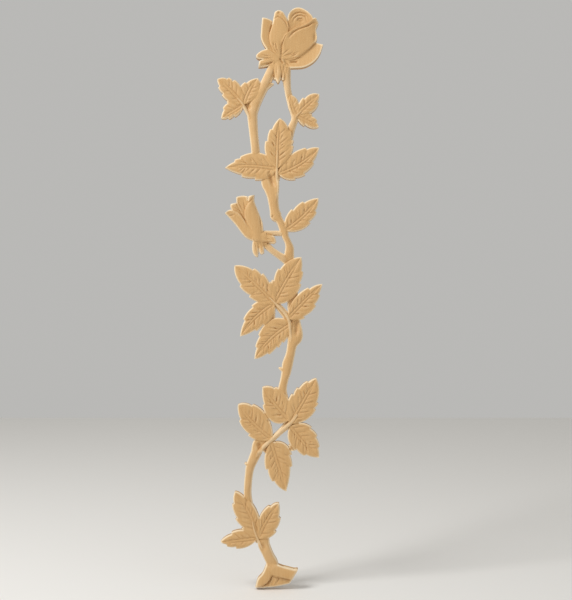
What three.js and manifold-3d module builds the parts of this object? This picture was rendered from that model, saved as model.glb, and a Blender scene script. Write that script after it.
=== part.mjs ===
import * as THREE from 'three';
import { mergeVertices } from 'three/addons/utils/BufferGeometryUtils.js';
import Module from 'manifold-3d';

// A tall rose spray carved in relief from one board, with a flat back.
// The back lies in the plane y = 0, the carving faces -Y, and the rose is at the top.

const wasm = await Module();
wasm.setup();

// Driving sizes in millimetres
const height = 580; // from the top of the rose to the bottom of the foot
const thickness = 12; // from the flat back to the rolled lip of the rose
const toothDepth = 2; // how far a leaf's edge steps in behind each tooth
const edgeBevel = 1.5; // width of the rounded edge round leaves and petals
const pointWidth = 0.8; // width left at the blunt point of a leaf
const backWaste = 3; // wood behind the back plane, planed off at the end

// Heights above the back, as shares of the thickness
const leafEdge = 0.44; // top of the side wall round a leaf
const leafShoulder = 0.57; // inside the rounded edge
const leafSwell = 0.62; // the swelling between two side veins
const leafVein = 0.57; // the bottom of a side vein
const leafMiddle = 0.55; // the valley along the midrib
const leafTipDrop = 0.04; // how far a leaf bends back towards its point
const stemEdge = 0.36; // top of the side wall along a stem
const stemWall = 0.1; // least height from a stem's side wall to its crown
const petalWall = 0.09; // drop of the rounded edge of a petal

// The drawing is laid out on a grid of squares, 580 down and 106.5 across
const gridDown = 580;
const gridAcross = 106.5;
const square = height / gridDown;

const at = ([across, down]) =>
  new THREE.Vector2((across - gridAcross / 2) * square, (gridDown / 2 - down) * square);

// Closed solids

// Rows of points [x, height above the back, z] become a block that runs past the back plane.
function block(rows) {
  const count = rows.length;
  const width = rows[0].length;
  const front = rows.flat().map(([x, rise, z]) => [x, -rise, z]);
  const back = rows.flat().map(([x, , z]) => [x, backWaste, z]);
  const shift = front.length;
  const faces = [];
  const quad = (a, b, c, d) => faces.push([a, b, c], [a, c, d]);
  for (let row = 0; row < count - 1; row += 1) {
    for (let column = 0; column < width - 1; column += 1) {
      const corner = row * width + column;
      quad(corner, corner + width, corner + width + 1, corner + 1);
      quad(shift + corner, shift + corner + 1, shift + corner + width + 1, shift + corner + width);
    }
    const first = row * width;
    const last = first + width - 1;
    quad(first, shift + first, shift + first + width, first + width);
    quad(last, last + width, shift + last + width, shift + last);
  }
  for (let column = 0; column < width - 1; column += 1) {
    const last = (count - 1) * width + column;
    quad(column, column + 1, shift + column + 1, shift + column);
    quad(last, shift + last, shift + last + 1, last + 1);
  }
  return solid(new Float32Array([...front, ...back].flat()), faces);
}

// The faces are turned outwards before the solid is made.
function solid(positions, faces) {
  const corner = (index) => new THREE.Vector3().fromArray(positions, index * 3);
  const volume = faces.reduce(
    (sum, [a, b, c]) => sum + corner(a).dot(corner(b).cross(corner(c))), 0);
  const outward = volume > 0 ? faces : faces.map(([a, b, c]) => [a, c, b]);
  return new wasm.Manifold(new wasm.Mesh({
    numProp: 3,
    vertProperties: positions,
    triVerts: new Uint32Array(outward.flat()),
  }));
}

function fromGeometry(geometry) {
  geometry.deleteAttribute('normal');
  geometry.deleteAttribute('uv');
  const merged = mergeVertices(geometry, 1e-5);
  return new wasm.Manifold(new wasm.Mesh({
    numProp: 3,
    vertProperties: merged.attributes.position.array,
    triVerts: new Uint32Array(merged.index.array),
  }));
}

// Leaves

const leafRowLength = 4.4;
const leafSweep = 0.12; // side veins reach forward by this share of the leaf's length
const leafFullness = 1.5; // a higher value gives a more pointed leaf
const toothCurve = 1.3; // over 1 the edge bulges between two teeth
const notchLength = 0.025; // the step behind a tooth, as a share of the leaf's length
const swellPlace = 0.52; // from the midrib to the shoulder
const widestBevel = 0.4; // the rounded edge takes no more than this share of a half

// Half width at a share of the length, 1 at the widest place.
function leafShape(along, widest) {
  const rise = (along / widest) ** widest;
  const fall = ((1 - along) / (1 - widest)) ** (1 - widest);
  return (rise * fall) ** leafFullness;
}

// Behind each tooth the edge steps in and then runs out again to the next tooth.
function halfWidth(along, { width, widest, teeth }) {
  const behind = teeth.filter((tooth) => tooth < along - 1e-6).pop();
  const ahead = teeth.find((tooth) => tooth >= along - 1e-6) ?? 1;
  const step = behind === undefined ? 0 : (ahead - along) / (ahead - behind);
  const half = width * square * leafShape(along, widest) - toothDepth * step ** toothCurve;
  return Math.max(half, pointWidth / 2);
}

// Where the rows meet the edge, with two rows close together at each tooth.
function edgeStops(rows, { teeth }) {
  const stops = rows.map((along) => along + leafSweep * 4 * along * (1 - along));
  teeth.forEach((tooth) => {
    const gaps = stops.map((stop) => Math.abs(stop - tooth));
    const nearest = Math.min(gaps.indexOf(Math.min(...gaps)), rows.length - 3);
    stops[nearest] = tooth;
    stops[nearest + 1] = tooth + notchLength;
  });
  return stops;
}

function leaf({ base, tip, bend = 0, lift = 0, left, right }) {
  const start = at(base);
  const end = at(tip);
  const length = start.distanceTo(end);
  const forward = end.clone().sub(start).divideScalar(length);
  const aside = new THREE.Vector2(forward.y, -forward.x);
  const place = (along, out) =>
    start.clone().addScaledVector(forward, length * along).addScaledVector(aside, out);
  const count = Math.max(Math.round(length / leafRowLength), 6);
  const rows = Array.from({ length: count + 1 }, (_, index) => index / count);
  const sides = [[-1, left, edgeStops(rows, left)], [1, right, edgeStops(rows, right)]];
  return block(rows.map((along, row) => {
    const spine = place(along, bend * square * 4 * along * (1 - along));
    const ground = (lift - leafTipDrop * along ** 3) * thickness;
    const swell = row % 2 === 1 ? leafSwell : leafVein;
    const points = sides.map(([sign, half, stops]) => {
      const edge = place(stops[row], sign * halfWidth(stops[row], half));
      const shoulder = 1 - Math.min(edgeBevel / spine.distanceTo(edge), widestBevel);
      return [[1, leafEdge], [shoulder, leafShoulder], [shoulder * swellPlace, swell]].map(
        ([out, rise]) => {
          const point = spine.clone().lerp(edge, out);
          return [point.x, rise * thickness + ground, point.y];
        });
    });
    const middle = [spine.x, leafMiddle * thickness + ground, spine.y];
    return [...points[0], middle, ...points[1].reverse()];
  }));
}

const side = (width, widest, ...teeth) => ({ width, widest, teeth });

// Lengths and widths in grid squares, teeth as shares of the leaf's length.
const leaves = [
  // Small cluster on the left stem
  { base: [26, 96], tip: [0.3, 70.8], bend: 1, lift: 0.03,
    left: side(9, 0.48, 0.6, 0.82), right: side(12, 0.55, 0.65, 0.81) },
  { base: [27, 96], tip: [40.5, 70], bend: -1.7, lift: 0.02,
    left: side(11.8, 0.45, 0.68), right: side(8.4, 0.55) },
  { base: [26, 97], tip: [4, 110], bend: -0.6,
    left: side(6, 0.5, 0.5, 0.75), right: side(12, 0.4, 0.48, 0.74) },
  // Small cluster on the right stem
  { base: [80, 109], tip: [73.5, 86.5], bend: -1.7, lift: 0.02,
    left: side(6, 0.5), right: side(7.4, 0.5, 0.55) },
  { base: [80, 106], tip: [101.8, 86], lift: 0.03,
    left: side(8.6, 0.54, 0.53), right: side(8.9, 0.5, 0.78) },
  { base: [79, 108], tip: [101.3, 118.5],
    left: side(8.9, 0.48, 0.56, 0.84), right: side(6, 0.54, 0.45) },
  // Three large leaves where the two stems meet
  { base: [60.5, 160], tip: [62.5, 110], bend: -1.1, lift: 0.08,
    left: side(14, 0.43, 0.53, 0.77), right: side(15.2, 0.51, 0.46, 0.57, 0.76) },
  { base: [59, 161], tip: [8, 159.5], bend: 2.3,
    left: side(11.6, 0.36, 0.41, 0.67), right: side(16.4, 0.4, 0.71, 0.82) },
  { base: [61, 166], tip: [101.8, 139.7], bend: 3.5, lift: 0.03,
    left: side(10, 0.5, 0.77), right: side(15.4, 0.4, 0.24, 0.46, 0.74) },
  // Single leaf across from the bud
  { base: [68, 222], tip: [101, 190], bend: 2.6, lift: 0.02,
    left: side(11, 0.44, 0.42, 0.71), right: side(12.7, 0.46, 0.5, 0.76) },
  // Upper cluster of five
  { base: [58, 296], tip: [17.5, 257.3], bend: 0.9, lift: 0.05,
    left: side(13.2, 0.5, 0.43, 0.68), right: side(14.2, 0.47, 0.34, 0.54, 0.71) },
  { base: [57, 295], tip: [84, 249], bend: -1, lift: 0.02,
    left: side(14.8, 0.5, 0.36, 0.6), right: side(14.8, 0.42, 0.56, 0.78) },
  { base: [71, 310], tip: [105, 276], bend: -0.6, lift: 0.06,
    left: side(10, 0.48, 0.74), right: side(12.6, 0.38, 0.25, 0.59, 0.8) },
  { base: [57, 295], tip: [23, 328], bend: 2.7, lift: 0.04,
    left: side(10, 0.4, 0.48, 0.68), right: side(14.2, 0.38, 0.38, 0.7) },
  { base: [75, 315], tip: [37.3, 350.6], bend: 3.4,
    left: side(8.7, 0.49, 0.38, 0.52, 0.74), right: side(18.4, 0.37, 0.63, 0.825) },
  // Lower cluster of five
  { base: [72, 412], tip: [45.2, 379], bend: -0.9, lift: 0.04,
    left: side(15.2, 0.36, 0.66), right: side(13.8, 0.55, 0.8) },
  { base: [55, 431], tip: [20.8, 396.3], bend: -2,
    left: side(14.8, 0.44, 0.4, 0.74), right: side(13.6, 0.55, 0.78) },
  { base: [73, 415], tip: [99, 370], bend: 0.4, lift: 0.06,
    left: side(13.7, 0.45, 0.5, 0.66, 0.86), right: side(15.6, 0.46, 0.47, 0.6) },
  { base: [73, 418], tip: [101.8, 449.2], bend: 1.3,
    left: side(15.3, 0.4, 0.36, 0.6, 0.82), right: side(13.4, 0.44, 0.5, 0.74) },
  { base: [54, 434], tip: [69.1, 483],
    left: side(16.1, 0.31, 0.35, 0.57), right: side(13.4, 0.49, 0.48, 0.74) },
  // Three leaves above the foot
  { base: [41, 530], tip: [18, 483.3], bend: 3.2, lift: 0.05,
    left: side(12.1, 0.5, 0.31, 0.52, 0.8), right: side(10.8, 0.5, 0.74) },
  { base: [40, 530], tip: [3.5, 533.6], bend: -0.6,
    left: side(9, 0.5, 0.6, 0.85), right: side(10.1, 0.45, 0.68) },
  { base: [41, 530], tip: [61.5, 495], bend: -1.6, lift: 0.03,
    left: side(9.9, 0.55, 0.82), right: side(12.6, 0.4, 0.36, 0.7) },
];

// Stems

// Across a stem: from edge to edge, and how much of the height is reached there.
const stemSection = [[-1, 0], [-0.6, 0.75], [0, 1], [0.6, 0.75], [1, 0]];

// Each point is [across, down, width, height of the crown as a share of the thickness].
function stem(points) {
  const path = new THREE.SplineCurve(points.map(at));
  return block(points.map(([, , width, crown], index) => {
    const share = index / (points.length - 1);
    const centre = path.getPoint(share);
    const forward = path.getTangent(share);
    const aside = new THREE.Vector2(forward.y, -forward.x);
    const edge = Math.min(stemEdge, crown - stemWall);
    return stemSection.map(([out, round]) => {
      const point = centre.clone().addScaledVector(aside, out * width * square / 2);
      return [point.x, (edge + (crown - edge) * round) * thickness, point.y];
    });
  }));
}

const stems = [
  // Left and right stems under the rose, and the wood between them
  [[57, 56, 10, 0.75], [49.5, 72, 9.8, 0.7], [43.3, 84, 10, 0.62], [37.7, 95, 11.2, 0.62],
    [35.2, 104, 10.6, 0.67], [35.3, 112, 9.8, 0.67], [36.5, 126, 8.8, 0.67], [38, 140, 8.6, 0.67],
    [39, 152, 9, 0.48]],
  [[69.5, 60, 8.2, 0.75], [69.5, 72, 8.2, 0.7], [70.7, 82, 6.8, 0.67], [72.6, 90, 7.4, 0.52],
    [75.5, 99, 8.5, 0.52], [77.5, 106, 8, 0.62], [77.2, 112, 7, 0.67], [74.5, 119, 7.7, 0.6],
    [72.5, 128, 7.1, 0.48], [70.4, 138, 6.5, 0.48]],
  [[60.5, 56, 11, 0.66], [60.7, 64, 10.5, 0.64], [60.8, 71, 9.5, 0.58]],
  // Main stem from the three large leaves to the upper cluster
  [[56.6, 155.5, 20, 0.5], [52.8, 172, 18.2, 0.55], [54.1, 180, 15, 0.62], [55.4, 187, 12, 0.67],
    [56.2, 194, 10.4, 0.69], [57.4, 202, 10, 0.69], [58.8, 207.5, 11.6, 0.69], [61.8, 211.5, 7.8, 0.67],
    [64.2, 216, 7.8, 0.67], [66.7, 222, 8.6, 0.67], [68.1, 228, 6.9, 0.67], [70.8, 234, 6.8, 0.67],
    [72.4, 240, 8.8, 0.67], [72, 246, 9.8, 0.62], [72, 254, 11, 0.46], [73, 265, 11, 0.46]],
  // Behind the upper cluster and on to the lower one
  [[73, 262, 11, 0.46], [75, 280, 11, 0.46], [75.5, 295, 11, 0.46], [76.5, 306, 12, 0.5],
    [76.8, 314, 13, 0.5], [77.7, 324, 15.6, 0.58], [77.3, 330, 15.4, 0.65], [74.9, 337, 10, 0.68],
    [72.9, 347, 9.4, 0.69], [70.3, 356, 10.8, 0.69], [69, 364, 9.6, 0.69], [67, 372, 8.2, 0.67],
    [65.2, 382, 8.8, 0.58], [67, 392, 9, 0.54], [69.5, 402, 8, 0.54], [72, 412, 8, 0.58]],
  // From the lower cluster to the foot
  [[46, 429, 13, 0.5], [41, 437, 12, 0.54], [39.2, 444, 11, 0.62], [35.7, 452, 9.8, 0.67],
    [32.9, 459, 9, 0.68], [31.4, 468, 8, 0.68], [30.6, 477, 7.8, 0.68], [30.3, 486, 7.6, 0.62],
    [31.4, 496, 8.2, 0.5], [34.6, 508, 8, 0.46], [39, 522, 8, 0.5], [45, 528, 11.8, 0.54],
    [46.6, 537, 11.8, 0.62], [49.1, 543, 10.9, 0.69], [51.8, 549, 10.7, 0.7], [54.7, 555, 11.6, 0.7],
    [55.6, 562, 13, 0.7]],
  // Low wood left beside the leaf stalks and between two leaves
  [[34, 90, 10, 0.44], [31.5, 98, 9.6, 0.42], [33, 106, 6, 0.42]],
  [[76, 411, 12, 0.5], [65, 422, 6.2, 0.52], [54, 432, 6.6, 0.5], [44, 441, 12, 0.5]],
  [[59, 296, 6, 0.5], [64.5, 302, 7.2, 0.54], [68.9, 308, 7.4, 0.54], [71, 315, 8.6, 0.54]],
  [[57.3, 294, 4, 0.48], [56.4, 303, 3.6, 0.48], [55.4, 313, 5, 0.48]],
  [[73.4, 436.5, 4.4, 0.46], [74.5, 443, 5, 0.44]],
  [[38, 526, 6, 0.46], [41, 534.5, 5, 0.46]],
  // Leaf stalks that cross the leaves
  [[80, 406, 4, 0.75], [74, 414, 4.8, 0.77], [65, 422, 4.8, 0.77], [55, 431, 4.8, 0.77],
    [45, 440, 5, 0.75], [40, 446.5, 5.6, 0.68], [36, 453, 5, 0.62]],
  [[52, 289, 3, 0.7], [59, 296, 3.6, 0.74], [64, 301, 4.2, 0.75], [69, 307, 4.4, 0.75],
    [72, 314, 4.4, 0.75], [72.7, 322, 4.4, 0.74], [73.6, 333, 4.6, 0.68], [73.6, 343, 4.4, 0.62]],
  [[60, 142, 2.6, 0.73], [59.5, 157, 3.4, 0.76], [59.7, 168, 4, 0.76], [60, 178, 4, 0.73],
    [59.2, 187, 4, 0.7], [58.4, 196, 4, 0.62]],
  [[20, 90, 2.6, 0.66], [24, 94, 3.4, 0.7], [29, 102, 3.6, 0.69], [32, 108, 3.6, 0.66],
    [34.5, 116, 3.6, 0.6]],
  [[84, 103, 3, 0.68], [79, 108, 3.4, 0.69], [77.5, 114, 3.4, 0.65]],
  [[35, 513, 2.6, 0.7], [37, 522, 3, 0.73], [40, 530, 3.6, 0.73], [44, 538, 3.6, 0.67],
    [47, 545, 3.6, 0.6]],
  // Twig and stalk of the bud
  [[44, 224.7, 5.2, 0.6], [54, 224.8, 5.2, 0.64], [65.5, 225, 5.2, 0.64]],
  [[48, 235, 7.4, 0.56], [51.5, 239, 6.9, 0.6], [56, 243, 6.5, 0.62], [61, 246.5, 6.9, 0.62],
    [67, 250.5, 8, 0.58], [72, 255, 8, 0.42]],
  // Thorns and knots
  [[50, 79, 3.5, 0.6], [56.5, 75, 1, 0.5]],
  [[67.5, 362.5, 6.4, 0.64], [61.4, 359.6, 1.6, 0.5]],
  [[33.5, 459, 6, 0.64], [27.5, 455, 2, 0.52]],
];

// Petals and sepals

const widestPetalBevel = 0.2; // as a share of the petal's width
const domeGrowth = 4; // a higher value keeps a petal's dome nearer to its free end

// A surface between two edge curves, from its foot to its free end.
// The heights are those of the left edge, the middle and the right edge, above their rounded edge.
function petal({ left, right, heights, rows = 7, dome = 0, dip = 0 }) {
  const edges = [left, right].map(
    (points) => new THREE.SplineCurve(points.map(at)).getSpacedPoints(rows));
  const [leftRise, middleRise, rightRise] = heights;
  const middle = (row) => edges[0][row].clone().add(edges[1][row]).divideScalar(2);
  return block(edges[0].map((from, row) => {
    const to = edges[1][row];
    const along = row / rows;
    const wide = Math.max(from.distanceTo(to), pointWidth);
    const next = Math.min(row + 1, rows);
    const forward = middle(next).sub(middle(next - 1)).normalize();
    const bevel = Math.min(edgeBevel / wide, widestPetalBevel);
    return [0, bevel, 0.5, 1 - bevel, 1].map((out) => {
      const arch = 4 * out * (1 - out);
      const point = from.clone().lerp(to, out);
      point.addScaledVector(forward, dome * square * arch * along ** domeGrowth);
      const sides = leftRise + (rightRise - leftRise) * out;
      const swell = (middleRise - (leftRise + rightRise) / 2) * arch;
      const wall = out === 0 || out === 1 ? petalWall : 0;
      const fall = dip * (1 - along) ** 2;
      return [point.x, (sides + swell - wall - fall) * thickness, point.y];
    });
  }));
}

const petals = [
  // Low wood between the petals of the rose
  { left: [[60, 56], [53, 42], [54.4, 15.8]], right: [[70, 56], [84, 46], [90, 24]],
    heights: [0.56, 0.6, 0.56], rows: 3 },
  // Round back petal of the rose
  { left: [[73, 44], [71.5, 26], [70.5, 10], [73, 4]],
    right: [[93, 44], [96, 22], [95.6, 9.8], [89.8, 3.6]],
    heights: [0.86, 0.74, 0.86], dome: 4.2, dip: 0.36 },
  // Left petal
  { left: [[57, 50], [48, 39.5], [43.9, 31], [43.9, 23], [45, 10]],
    right: [[60, 48], [55, 36], [53.8, 26], [55.2, 13]],
    heights: [0.8, 0.76, 0.66], dome: 0.8, dip: 0.1 },
  // Right outer petal
  { left: [[63, 50], [79, 48], [91, 40], [98, 34.3]],
    right: [[68, 60], [76, 60.2], [87, 59.2], [96.6, 54], [102.6, 46.3], [105.8, 37]],
    heights: [0.6, 0.68, 0.82], dip: 0.08 },
  // Large right petal with its rolled lip
  { left: [[65, 37], [69.5, 26.5], [74, 23], [85, 18.5], [92.5, 14.5], [96, 11], [98.8, 10.9]],
    right: [[64, 51], [75, 52], [86, 46.5], [95.8, 37], [99.8, 31], [98.9, 22], [101.2, 15.5]],
    heights: [1.03, 0.9, 0.8], dip: 0.17 },
  // Middle petal
  { left: [[59, 50], [53, 37], [52, 27], [54.6, 18], [57.4, 5]],
    right: [[64, 50], [65, 37], [70.7, 26], [71, 14], [66.2, 4.8]],
    heights: [0.86, 0.93, 0.88], dome: 1.9, dip: 0.22 },
  // Sepals of the rose
  { left: [[61, 54], [52, 53], [45, 51.5], [41, 51], [39, 49.3]],
    right: [[62, 48], [54, 41], [46, 42], [41, 45], [39, 47.3]],
    heights: [0.74, 0.8, 0.72], rows: 5 },
  { left: [[61, 55], [50, 58.2], [46, 59], [41.2, 59.3]],
    right: [[61, 51], [52, 50.5], [43, 52.5], [41.4, 57.3]],
    heights: [0.66, 0.78, 0.74], rows: 5 },
  { left: [[58, 50], [57, 60], [57.5, 69], [60.3, 75]],
    right: [[64, 50], [65.5, 60], [64, 69], [61.3, 75]],
    heights: [0.72, 0.84, 0.76], rows: 5, dip: 0.1 },
  { left: [[62, 50], [64.5, 60], [64.5, 72]], right: [[67, 50], [68.5, 60], [67.5, 72]],
    heights: [0.7, 0.75, 0.7], rows: 4 },
  // Back petals of the bud
  { left: [[33, 228], [20, 210], [13.6, 200], [13.4, 195.8]],
    right: [[37, 226], [26, 208], [21, 198], [19.4, 194.4]],
    heights: [0.6, 0.66, 0.6], rows: 4 },
  { left: [[34, 226], [24, 206], [19.6, 196], [19.1, 189]],
    right: [[40, 224], [33, 204], [31, 196], [30.6, 188.4]],
    heights: [0.66, 0.6, 0.7], rows: 5, dome: 1.2 },
  // Left petal of the bud
  { left: [[36, 233], [27.6, 228.6], [18.4, 216.8], [11, 208.5], [7.8, 205.3]],
    right: [[38, 229], [30, 216], [23, 206], [14, 201.6], [9, 203.6]],
    heights: [0.6, 0.74, 0.78], rows: 6 },
  // Right petal of the bud
  { left: [[37, 233], [29, 217], [27, 204], [29.6, 196], [31.4, 188]],
    right: [[46, 233], [45.6, 216], [40.9, 203], [37.2, 193], [37.2, 186.8]],
    heights: [0.74, 0.84, 0.66], rows: 6 },
  // Cup and sepals of the bud
  { left: [[50, 236], [42, 236], [35, 232.7]], right: [[49, 224], [40, 224], [34, 228]],
    heights: [0.66, 0.78, 0.7], rows: 3 },
  { left: [[36, 230], [34.8, 238], [35.6, 244.5], [38.2, 248.5]],
    right: [[41, 230], [41.7, 238], [41.3, 244], [40.7, 248.8]],
    heights: [0.6, 0.72, 0.64], rows: 4 },
  { left: [[40, 230], [41.1, 238], [42.4, 244.6], [44.4, 246.3]],
    right: [[47, 230], [47, 238], [46.8, 242], [46.9, 244.8]],
    heights: [0.6, 0.7, 0.62], rows: 4 },
  { left: [[42, 235], [50, 235], [57, 235.7]],
    right: [[44, 226], [52, 226.3], [57.2, 228.4], [59, 233.6]],
    heights: [0.7, 0.76, 0.68], rows: 4 },
  // The cut foot: a sunk lower face, a sloping left face and a smooth upper face
  { left: [[49.4, 555], [45.5, 564.5], [40.5, 570.5], [38, 579.3]],
    right: [[63, 557.2], [76, 560.5], [80.6, 561.7], [72.5, 575]],
    heights: [0.6, 0.66, 0.6], rows: 6, dome: 1.4 },
  { left: [[49.4, 556], [45.5, 564.5], [40.5, 570.5], [38.4, 578.8]],
    right: [[62, 560], [55.5, 566], [53, 571], [46, 577.5]],
    heights: [0.74, 0.82, 0.8], rows: 4 },
  { left: [[50.5, 562], [55, 566.5], [63, 569], [75, 571]],
    right: [[58, 555], [65, 557.6], [72, 559.6], [80.5, 561.4]],
    heights: [0.86, 0.86, 0.76], rows: 4 },
];

// Everything is joined, and the back is planed flat
const parts = [...stems.map(stem), ...leaves.map(leaf), ...petals.map(petal)];
const rough = parts.reduce((joined, part) => joined.add(part));
const plane = new THREE.BoxGeometry(height * 2, backWaste * 4, height * 2);
plane.translate(0, backWaste * 2, 0);
const carved = rough.subtract(fromGeometry(plane)).getMesh();

const geometry = new THREE.BufferGeometry();
geometry.setAttribute('position', new THREE.BufferAttribute(carved.vertProperties, 3));
geometry.setIndex(new THREE.BufferAttribute(carved.triVerts, 1));
geometry.computeVertexNormals();

const wood = new THREE.MeshStandardMaterial({ color: 0xd7b27d, roughness: 0.62, metalness: 0 });
const spray = new THREE.Mesh(geometry, wood);
spray.name = 'carved_rose_spray';

const applique = new THREE.Group();
applique.add(spray);

export default applique;
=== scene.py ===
import math

import bmesh
import bpy
import numpy as np
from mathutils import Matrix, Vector, kdtree


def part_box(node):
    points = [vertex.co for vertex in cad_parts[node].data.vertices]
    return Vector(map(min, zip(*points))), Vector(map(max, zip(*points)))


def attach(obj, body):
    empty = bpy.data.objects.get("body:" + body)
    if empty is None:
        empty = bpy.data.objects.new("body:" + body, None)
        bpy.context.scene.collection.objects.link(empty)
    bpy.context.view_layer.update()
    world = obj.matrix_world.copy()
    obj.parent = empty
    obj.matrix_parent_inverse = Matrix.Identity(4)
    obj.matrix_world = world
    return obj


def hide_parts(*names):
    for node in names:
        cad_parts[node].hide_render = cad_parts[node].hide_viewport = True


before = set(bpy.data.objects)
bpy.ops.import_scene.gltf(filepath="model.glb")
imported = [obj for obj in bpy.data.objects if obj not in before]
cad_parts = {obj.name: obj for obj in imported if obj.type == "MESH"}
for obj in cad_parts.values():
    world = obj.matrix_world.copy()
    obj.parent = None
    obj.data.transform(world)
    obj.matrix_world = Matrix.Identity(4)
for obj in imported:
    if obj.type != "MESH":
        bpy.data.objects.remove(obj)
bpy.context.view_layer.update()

nodeName = "carved_rose_spray"
solidLow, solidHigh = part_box(nodeName)
mm = 0.001

# The board that the spray is carved from. Heights are shares of its thickness, lengths are in millimetres,
# and places along or across a form are shares of its length or width.
board = {
    "thickness": 12,
    "waste": 3,  # wood behind the back plane, cut off at the end
    "rowStep": 0.85,  # distance between two rows of the mesh
    "columnStep": 0.8,
    "leafStep": 0.68,  # finer on the leaves, for their veins
    "roundedEdge": 1.5,  # width of the sanded edge round leaves and petals
    "sharpAngle": 38,  # edges steeper than this stay crisp, in degrees
}

# The drawing has a square for each millimetre, counted from its top left corner.
drawing = {"across": 106.5, "down": 580}


def onDrawing(point):
    return Vector((point[0] - drawing["across"] / 2, drawing["down"] / 2 - point[1]))


# A share that leaves 0 and reaches 1 gently
def eased(share):
    return share * share * (3 - 2 * share)


def smoothStep(value):
    return eased(min(max(value, 0), 1))


# Drop of a quarter-round edge: 0 inside it and 1 at its foot.
def roundOver(gap, width):
    near = 1 - min(max(gap / width, 0), 1)
    return 1 - math.sqrt(1 - near * near)


# A smooth curve through numbers or points, at a share of the way.
def through(values, share):
    spot = share * (len(values) - 1)
    index = min(int(spot), len(values) - 2)
    part = spot - index
    before = values[max(index - 1, 0)]
    first = values[index]
    second = values[index + 1]
    after = values[min(index + 2, len(values) - 1)]
    leave = (second - before) * 0.5
    arrive = (after - first) * 0.5
    bend = first * 2 - second * 2 + leave + arrive
    turn = second * 3 - first * 3 - leave * 2 - arrive
    return ((bend * part + turn) * part + leave) * part + first


def startGrid(columns, rows):
    bm = bmesh.new()
    bmesh.ops.create_grid(bm, x_segments=columns, y_segments=rows, size=1)
    return bm


def gridRow(vert, rows):
    return round((vert.co.y + 1) / 2 * rows)


# Columns stand closer together at both ends of the share.
def closerEnds(share):
    return share / 2 + (1 - math.cos(math.pi * share)) / 4


def toObject(name, bm):
    mesh = bpy.data.meshes.new(name)
    bm.to_mesh(mesh)
    bm.free()
    return bpy.data.objects.new(name, mesh)


def pathLength(path):
    return sum((b - a).length for a, b in zip(path, path[1:]))


# The carved face is drawn back through the board, so that each element is a closed block.
def closeBlock(name, bm):
    made = bmesh.ops.extrude_face_region(bm, geom=bm.faces[:], use_keep_orig=True)
    for item in made["geom"]:
        if isinstance(item, bmesh.types.BMVert):
            item.co.y = board["waste"] * mm
    bmesh.ops.recalc_face_normals(bm, faces=bm.faces[:])
    return toObject(name, bm)


# Leaves: a valley along the midrib, two swelling halves and a rounded, toothed edge
leafCut = {
    "edge": 0.44,
    "shoulder": 0.575,
    "swell": 0.625,
    "swellAt": 0.5,  # share of the half width
    "middle": 0.56,
    "narrowHalf": 6.0,  # halves narrower than this are carved flatter
    "rollShare": 0.45,  # most of a half width that the rounded edge takes
    "tipDrop": 0.04,
    "baseFade": 0.2,  # share of the length where the edge runs into the wood around it
    "baseDrop": 0.3,  # share of the edge's drop that is left at the base
    "toothDepth": 2.0,
    "toothCurve": 1.3,  # over 1 the edge bulges between two teeth
    "notchWidth": 0.45,
    "valleyDepth": 0.03,  # the hollow that runs inwards from each notch
    "valleyWidth": 1.6,
    "valleyStart": 0.2,
    "valleyFade": 0.6,
    "sweep": 0.12,  # how far the rows run forward on their way to the edge
    "fullness": 1.5,
    "pointWidth": 0.8,
    "leastRows": 24,
    "leastColumns": 8,  # in each half
}

# Fine gouge cuts in a leaf: a pair of grooves along the midrib, and the side veins
veinCut = {
    "spacing": 5.2,
    "closeSpacing": 4.2,  # on short leaves
    "shortLeaf": 35,
    "first": 0.08,  # the first and last vein, as shares of the leaf's length
    "last": 0.7,
    "turnAhead": 3,  # how many cuts further on in their order the right half starts
    "depth": 0.5,
    "halfWidth": 1.12,
    "lead": 0.42,  # how far a vein runs forward, as a share of the half leaf's width
    "leadCurve": 1.25,
    "start": 0.06,  # where a vein starts beside the midrib, and how soon it is at its full depth
    "startFade": 0.14,
    "endFade": 0.3,
    "fullHalf": 9,  # on halves narrower than this the cuts are shallower
    "pillow": 0.14,  # wood taken away more widely, so that it swells between two veins
    "pillowHalf": 1.9,
    "pillowEnd": 5.7,
    "strokes": (1.1, 0.65, 0.95, 0.5, 1.2, 0.75, 0.85),  # the carver's stronger and lighter cuts, in turn
    "reaches": (0.9, 0.72, 0.82, 0.66, 0.86, 0.76),  # how far out each cut ends
    "drift": (0, 0.5, -0.4, 0.3, -0.5),  # mm that a cut strays along the midrib
    "rib": 0.35,
    "ribHalf": 0.9,
    "groove": 0.5,
    "grooveAt": 1.6,
    "grooveHalf": 0.85,
    "ribStart": 0.08,  # share of the length where rib and grooves come up at the base
    "ribEnd": 0.88,
    "ribFade": 0.25,
}


def side(width, widest, *teeth):
    return {"width": width, "widest": widest, "teeth": teeth}


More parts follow.
